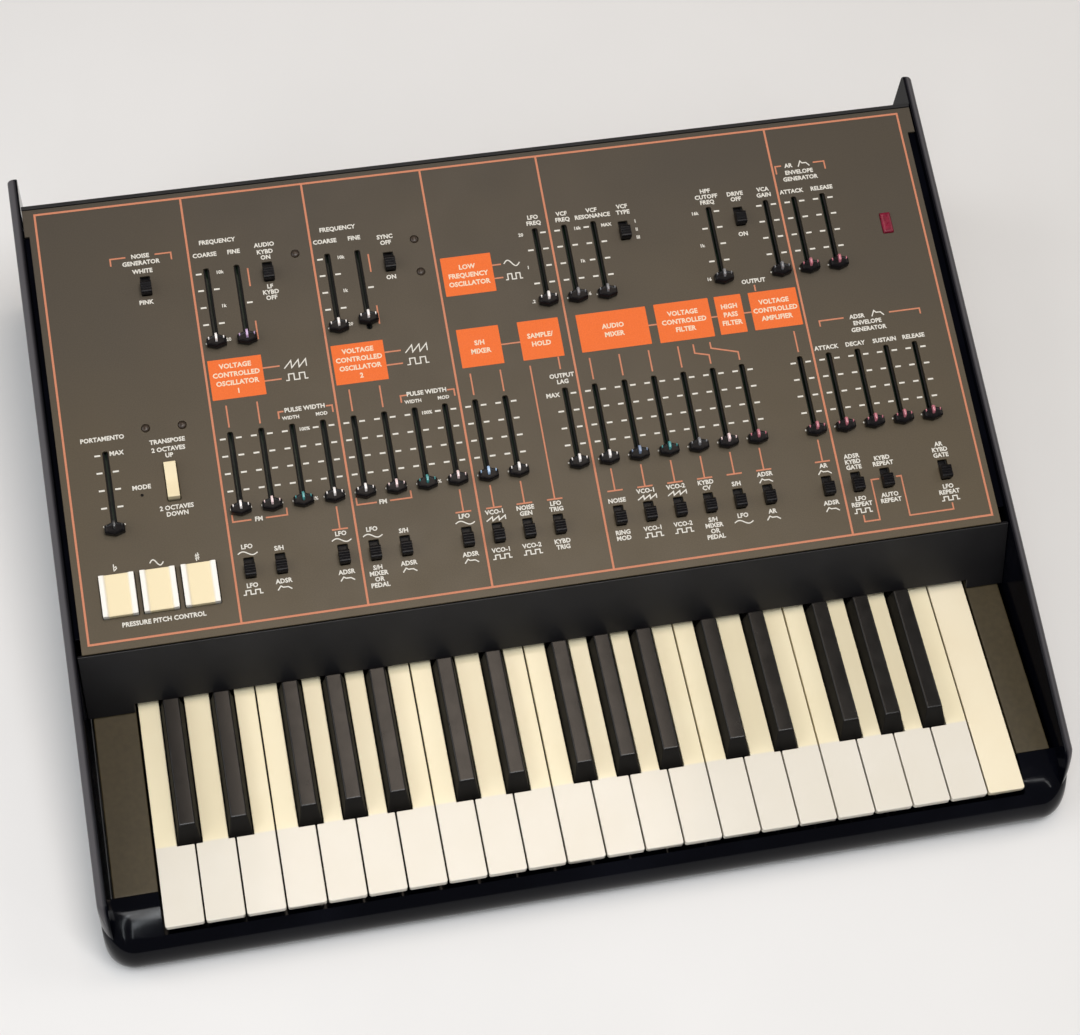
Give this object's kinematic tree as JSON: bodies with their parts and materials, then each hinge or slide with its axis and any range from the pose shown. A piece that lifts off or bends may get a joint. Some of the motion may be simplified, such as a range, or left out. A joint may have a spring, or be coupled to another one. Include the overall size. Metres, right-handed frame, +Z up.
{
  "type": "synthesizer",
  "caption": "Analogue keyboard synthesizer with a sloping slider panel, pitch pads, black side cheeks and short three-octave piano keys.",
  "frame": {"origin": "on the ground under the middle of the body's bounding box", "axes": "+X towards the high notes, +Y towards the rear, +Z up; the player sits on the -Y side"},
  "size_m": [0.584, 0.468, 0.1434],
  "materials": {
    "gloss_black": "gloss moulded black plastic",
    "apron_black": "satin black",
    "panel_brown": "fine textured dark brown-grey paint on steel",
    "chassis_brown": "dark brown-grey satin",
    "board_green": "green solder resist",
    "rear_black": "black powder coat",
    "key_white": "ivory white, satin gloss",
    "key_black": "gloss black",
    "cap_black": "satin black",
    "pad_white": "warm white satin"
  },
  "bodies": {
    "case": {"base_shell": "gloss_black", "left_cheek": "gloss_black", "right_cheek": "gloss_black", "front_apron": "apron_black", "control_panel": "panel_brown", "key_chassis": "chassis_brown", "circuit_board": "board_green", "rear_panel": "rear_black"},
    "portamento_slider": {"portamento_slider": "cap_black"},
    "osc1_coarse_slider": {"osc1_coarse_slider": "cap_black"},
    "osc1_fine_slider": {"osc1_fine_slider": "cap_black"},
    "osc2_coarse_slider": {"osc2_coarse_slider": "cap_black"},
    "osc2_fine_slider": {"osc2_fine_slider": "cap_black"},
    "lfo_rate_slider": {"lfo_rate_slider": "cap_black"},
    "filter_cutoff_slider": {"filter_cutoff_slider": "cap_black"},
    "filter_resonance_slider": {"filter_resonance_slider": "cap_black"},
    "amp_gain_slider": {"amp_gain_slider": "cap_black"},
    "noise_switch": {"noise_switch": "cap_black"},
    "filter_type_switch": {"filter_type_switch": "cap_black"},
    "flat_pad": {"flat_pad": "pad_white"},
    "vibrato_pad": {"vibrato_pad": "pad_white"},
    "sharp_pad": {"sharp_pad": "pad_white"},
    "transpose_rocker": {"transpose_rocker": "pad_white"},
    "key_C3": {"key_C3": "key_white"},
    "key_D3": {"key_D3": "key_white"},
    "key_E3": {"key_E3": "key_white"},
    "key_F3": {"key_F3": "key_white"},
    "key_G3": {"key_G3": "key_white"},
    "key_A3": {"key_A3": "key_white"},
    "key_B3": {"key_B3": "key_white"},
    "key_C4": {"key_C4": "key_white"},
    "key_D4": {"key_D4": "key_white"},
    "key_E4": {"key_E4": "key_white"},
    "key_F4": {"key_F4": "key_white"},
    "key_G4": {"key_G4": "key_white"},
    "key_A4": {"key_A4": "key_white"},
    "key_B4": {"key_B4": "key_white"},
    "key_C5": {"key_C5": "key_white"},
    "key_D5": {"key_D5": "key_white"},
    "key_E5": {"key_E5": "key_white"},
    "key_F5": {"key_F5": "key_white"},
    "key_G5": {"key_G5": "key_white"},
    "key_A5": {"key_A5": "key_white"},
    "key_B5": {"key_B5": "key_white"},
    "key_C6": {"key_C6": "key_white"},
    "key_Cs3": {"key_Cs3": "key_black"},
    "key_Ds3": {"key_Ds3": "key_black"},
    "key_Fs3": {"key_Fs3": "key_black"},
    "key_Gs3": {"key_Gs3": "key_black"},
    "key_As3": {"key_As3": "key_black"},
    "key_Cs4": {"key_Cs4": "key_black"},
    "key_Ds4": {"key_Ds4": "key_black"},
    "key_Fs4": {"key_Fs4": "key_black"},
    "key_Gs4": {"key_Gs4": "key_black"},
    "key_As4": {"key_As4": "key_black"},
    "key_Cs5": {"key_Cs5": "key_black"},
    "key_Ds5": {"key_Ds5": "key_black"},
    "key_Fs5": {"key_Fs5": "key_black"},
    "key_Gs5": {"key_Gs5": "key_black"},
    "key_As5": {"key_As5": "key_black"}
  },
  "joints": [
    {"name": "portamento_slide", "type": "slide", "parent": "case", "child": "portamento_slider", "axis": [0, 0.9796, 0.2011], "range_m": [0, 0.045]},
    {"name": "osc1_coarse_slide", "type": "slide", "parent": "case", "child": "osc1_coarse_slider", "axis": [0, 0.9796, 0.2011], "range_m": [0, 0.045]},
    {"name": "osc1_fine_slide", "type": "slide", "parent": "case", "child": "osc1_fine_slider", "axis": [0, 0.9796, 0.2011], "range_m": [0, 0.045]},
    {"name": "osc2_coarse_slide", "type": "slide", "parent": "case", "child": "osc2_coarse_slider", "axis": [0, 0.9796, 0.2011], "range_m": [0, 0.045]},
    {"name": "osc2_fine_slide", "type": "slide", "parent": "case", "child": "osc2_fine_slider", "axis": [0, 0.9796, 0.2011], "range_m": [-0.0028, 0.0422]},
    {"name": "lfo_rate_slide", "type": "slide", "parent": "case", "child": "lfo_rate_slider", "axis": [0, 0.9796, 0.2011], "range_m": [0, 0.045]},
    {"name": "filter_cutoff_slide", "type": "slide", "parent": "case", "child": "filter_cutoff_slider", "axis": [0, 0.9796, 0.2011], "range_m": [0, 0.045]},
    {"name": "filter_resonance_slide", "type": "slide", "parent": "case", "child": "filter_resonance_slider", "axis": [0, 0.9796, 0.2011], "range_m": [0, 0.045]},
    {"name": "amp_gain_slide", "type": "slide", "parent": "case", "child": "amp_gain_slider", "axis": [0, 0.9796, 0.2011], "range_m": [0, 0.045]},
    {"name": "noise_switch_slide", "type": "slide", "parent": "case", "child": "noise_switch", "axis": [0, 0.9796, 0.2011], "range_m": [0, 0.0044]},
    {"name": "filter_type_switch_slide", "type": "slide", "parent": "case", "child": "filter_type_switch", "axis": [0, 0.9796, 0.2011], "range_m": [0, 0.0044]},
    {"name": "flat_pad_press", "type": "slide", "parent": "case", "child": "flat_pad", "axis": [0, 0.2011, -0.9796], "range_m": [0, 0.0015], "stiffness_N_per_m": 500, "springref_m": -0.002},
    {"name": "vibrato_pad_press", "type": "slide", "parent": "case", "child": "vibrato_pad", "axis": [0, 0.2011, -0.9796], "range_m": [0, 0.0015], "stiffness_N_per_m": 500, "springref_m": -0.002},
    {"name": "sharp_pad_press", "type": "slide", "parent": "case", "child": "sharp_pad", "axis": [0, 0.2011, -0.9796], "range_m": [0, 0.0015], "stiffness_N_per_m": 500, "springref_m": -0.002},
    {"name": "transpose_rock", "type": "hinge", "parent": "case", "child": "transpose_rocker", "pos_m": [-0.21729, 0.02924, 0.10099], "axis": [1, 0, 0], "range_deg": [-8, 8]},
    {"name": "key_C3_press", "type": "hinge", "parent": "case", "child": "key_C3", "pos_m": [-0.24455, -0.046, 0.03], "axis": [1, 0, 0], "range_deg": [0, 3.05], "stiffness_Nm_per_rad": 0.6, "springref_deg": -14.32},
    {"name": "key_D3_press", "type": "hinge", "parent": "case", "child": "key_D3", "pos_m": [-0.22105, -0.046, 0.03], "axis": [1, 0, 0], "range_deg": [0, 3.05], "stiffness_Nm_per_rad": 0.6, "springref_deg": -14.32},
    {"name": "key_E3_press", "type": "hinge", "parent": "case", "child": "key_E3", "pos_m": [-0.19755, -0.046, 0.03], "axis": [1, 0, 0], "range_deg": [0, 3.05], "stiffness_Nm_per_rad": 0.6, "springref_deg": -14.32},
    {"name": "key_G4_press", "type": "hinge", "parent": "case", "child": "key_G4", "pos_m": [0.01395, -0.046, 0.03], "axis": [1, 0, 0], "range_deg": [0, 3.05], "stiffness_Nm_per_rad": 0.6, "springref_deg": -14.32},
    {"name": "key_A4_press", "type": "hinge", "parent": "case", "child": "key_A4", "pos_m": [0.03745, -0.046, 0.03], "axis": [1, 0, 0], "range_deg": [0, 3.05], "stiffness_Nm_per_rad": 0.6, "springref_deg": -14.32},
    {"name": "key_C6_press", "type": "hinge", "parent": "case", "child": "key_C6", "pos_m": [0.24895, -0.046, 0.03], "axis": [1, 0, 0], "range_deg": [0, 3.05], "stiffness_Nm_per_rad": 0.6, "springref_deg": -14.32},
    {"name": "key_Cs3_press", "type": "hinge", "parent": "case", "child": "key_Cs3", "pos_m": [-0.2359, -0.046, 0.03], "axis": [1, 0, 0], "range_deg": [0, 4], "stiffness_Nm_per_rad": 0.6, "springref_deg": -9.74},
    {"name": "key_Ds3_press", "type": "hinge", "parent": "case", "child": "key_Ds3", "pos_m": [-0.20594, -0.046, 0.03], "axis": [1, 0, 0], "range_deg": [0, 4], "stiffness_Nm_per_rad": 0.6, "springref_deg": -9.74},
    {"name": "key_Fs4_press", "type": "hinge", "parent": "case", "child": "key_Fs4", "pos_m": [-0.00062, -0.046, 0.03], "axis": [1, 0, 0], "range_deg": [0, 4], "stiffness_Nm_per_rad": 0.6, "springref_deg": -9.74},
    {"name": "key_Gs4_press", "type": "hinge", "parent": "case", "child": "key_Gs4", "pos_m": [0.0257, -0.046, 0.03], "axis": [1, 0, 0], "range_deg": [0, 4], "stiffness_Nm_per_rad": 0.6, "springref_deg": -9.74},
    {"name": "key_As5_press", "type": "hinge", "parent": "case", "child": "key_As5", "pos_m": [0.21652, -0.046, 0.03], "axis": [1, 0, 0], "range_deg": [0, 4], "stiffness_Nm_per_rad": 0.6, "springref_deg": -9.74},
    {"name": "key_F3_press", "type": "hinge", "parent": "case", "child": "key_F3", "pos_m": [-0.17405, -0.046, 0.03], "axis": [1, 0, 0], "range_deg": [0, 3.05], "stiffness_Nm_per_rad": 0.6, "springref_deg": -14.32},
    {"name": "key_G3_press", "type": "hinge", "parent": "case", "child": "key_G3", "pos_m": [-0.15055, -0.046, 0.03], "axis": [1, 0, 0], "range_deg": [0, 3.05], "stiffness_Nm_per_rad": 0.6, "springref_deg": -14.32},
    {"name": "key_A3_press", "type": "hinge", "parent": "case", "child": "key_A3", "pos_m": [-0.12705, -0.046, 0.03], "axis": [1, 0, 0], "range_deg": [0, 3.05], "stiffness_Nm_per_rad": 0.6, "springref_deg": -14.32},
    {"name": "key_B3_press", "type": "hinge", "parent": "case", "child": "key_B3", "pos_m": [-0.10355, -0.046, 0.03], "axis": [1, 0, 0], "range_deg": [0, 3.05], "stiffness_Nm_per_rad": 0.6, "springref_deg": -14.32},
    {"name": "key_C4_press", "type": "hinge", "parent": "case", "child": "key_C4", "pos_m": [-0.08005, -0.046, 0.03], "axis": [1, 0, 0], "range_deg": [0, 3.05], "stiffness_Nm_per_rad": 0.6, "springref_deg": -14.32},
    {"name": "key_D4_press", "type": "hinge", "parent": "case", "child": "key_D4", "pos_m": [-0.05655, -0.046, 0.03], "axis": [1, 0, 0], "range_deg": [0, 3.05], "stiffness_Nm_per_rad": 0.6, "springref_deg": -14.32},
    {"name": "key_E4_press", "type": "hinge", "parent": "case", "child": "key_E4", "pos_m": [-0.03305, -0.046, 0.03], "axis": [1, 0, 0], "range_deg": [0, 3.05], "stiffness_Nm_per_rad": 0.6, "springref_deg": -14.32},
    {"name": "key_F4_press", "type": "hinge", "parent": "case", "child": "key_F4", "pos_m": [-0.00955, -0.046, 0.03], "axis": [1, 0, 0], "range_deg": [0, 3.05], "stiffness_Nm_per_rad": 0.6, "springref_deg": -14.32},
    {"name": "key_B4_press", "type": "hinge", "parent": "case", "child": "key_B4", "pos_m": [0.06095, -0.046, 0.03], "axis": [1, 0, 0], "range_deg": [0, 3.05], "stiffness_Nm_per_rad": 0.6, "springref_deg": -14.32},
    {"name": "key_C5_press", "type": "hinge", "parent": "case", "child": "key_C5", "pos_m": [0.08445, -0.046, 0.03], "axis": [1, 0, 0], "range_deg": [0, 3.05], "stiffness_Nm_per_rad": 0.6, "springref_deg": -14.32},
    {"name": "key_D5_press", "type": "hinge", "parent": "case", "child": "key_D5", "pos_m": [0.10795, -0.046, 0.03], "axis": [1, 0, 0], "range_deg": [0, 3.05], "stiffness_Nm_per_rad": 0.6, "springref_deg": -14.32},
    {"name": "key_E5_press", "type": "hinge", "parent": "case", "child": "key_E5", "pos_m": [0.13145, -0.046, 0.03], "axis": [1, 0, 0], "range_deg": [0, 3.05], "stiffness_Nm_per_rad": 0.6, "springref_deg": -14.32},
    {"name": "key_F5_press", "type": "hinge", "parent": "case", "child": "key_F5", "pos_m": [0.15495, -0.046, 0.03], "axis": [1, 0, 0], "range_deg": [0, 3.05], "stiffness_Nm_per_rad": 0.6, "springref_deg": -14.32},
    {"name": "key_G5_press", "type": "hinge", "parent": "case", "child": "key_G5", "pos_m": [0.17845, -0.046, 0.03], "axis": [1, 0, 0], "range_deg": [0, 3.05], "stiffness_Nm_per_rad": 0.6, "springref_deg": -14.32},
    {"name": "key_A5_press", "type": "hinge", "parent": "case", "child": "key_A5", "pos_m": [0.20195, -0.046, 0.03], "axis": [1, 0, 0], "range_deg": [0, 3.05], "stiffness_Nm_per_rad": 0.6, "springref_deg": -14.32},
    {"name": "key_B5_press", "type": "hinge", "parent": "case", "child": "key_B5", "pos_m": [0.22545, -0.046, 0.03], "axis": [1, 0, 0], "range_deg": [0, 3.05], "stiffness_Nm_per_rad": 0.6, "springref_deg": -14.32},
    {"name": "key_Fs3_press", "type": "hinge", "parent": "case", "child": "key_Fs3", "pos_m": [-0.16512, -0.046, 0.03], "axis": [1, 0, 0], "range_deg": [0, 4], "stiffness_Nm_per_rad": 0.6, "springref_deg": -9.74},
    {"name": "key_Gs3_press", "type": "hinge", "parent": "case", "child": "key_Gs3", "pos_m": [-0.1388, -0.046, 0.03], "axis": [1, 0, 0], "range_deg": [0, 4], "stiffness_Nm_per_rad": 0.6, "springref_deg": -9.74},
    {"name": "key_As3_press", "type": "hinge", "parent": "case", "child": "key_As3", "pos_m": [-0.11248, -0.046, 0.03], "axis": [1, 0, 0], "range_deg": [0, 4], "stiffness_Nm_per_rad": 0.6, "springref_deg": -9.74},
    {"name": "key_Cs4_press", "type": "hinge", "parent": "case", "child": "key_Cs4", "pos_m": [-0.0714, -0.046, 0.03], "axis": [1, 0, 0], "range_deg": [0, 4], "stiffness_Nm_per_rad": 0.6, "springref_deg": -9.74},
    {"name": "key_Ds4_press", "type": "hinge", "parent": "case", "child": "key_Ds4", "pos_m": [-0.04144, -0.046, 0.03], "axis": [1, 0, 0], "range_deg": [0, 4], "stiffness_Nm_per_rad": 0.6, "springref_deg": -9.74},
    {"name": "key_As4_press", "type": "hinge", "parent": "case", "child": "key_As4", "pos_m": [0.05202, -0.046, 0.03], "axis": [1, 0, 0], "range_deg": [0, 4], "stiffness_Nm_per_rad": 0.6, "springref_deg": -9.74},
    {"name": "key_Cs5_press", "type": "hinge", "parent": "case", "child": "key_Cs5", "pos_m": [0.0931, -0.046, 0.03], "axis": [1, 0, 0], "range_deg": [0, 4], "stiffness_Nm_per_rad": 0.6, "springref_deg": -9.74},
    {"name": "key_Ds5_press", "type": "hinge", "parent": "case", "child": "key_Ds5", "pos_m": [0.12306, -0.046, 0.03], "axis": [1, 0, 0], "range_deg": [0, 4], "stiffness_Nm_per_rad": 0.6, "springref_deg": -9.74},
    {"name": "key_Fs5_press", "type": "hinge", "parent": "case", "child": "key_Fs5", "pos_m": [0.16388, -0.046, 0.03], "axis": [1, 0, 0], "range_deg": [0, 4], "stiffness_Nm_per_rad": 0.6, "springref_deg": -9.74},
    {"name": "key_Gs5_press", "type": "hinge", "parent": "case", "child": "key_Gs5", "pos_m": [0.1902, -0.046, 0.03], "axis": [1, 0, 0], "range_deg": [0, 4], "stiffness_Nm_per_rad": 0.6, "springref_deg": -9.74}
  ]
}
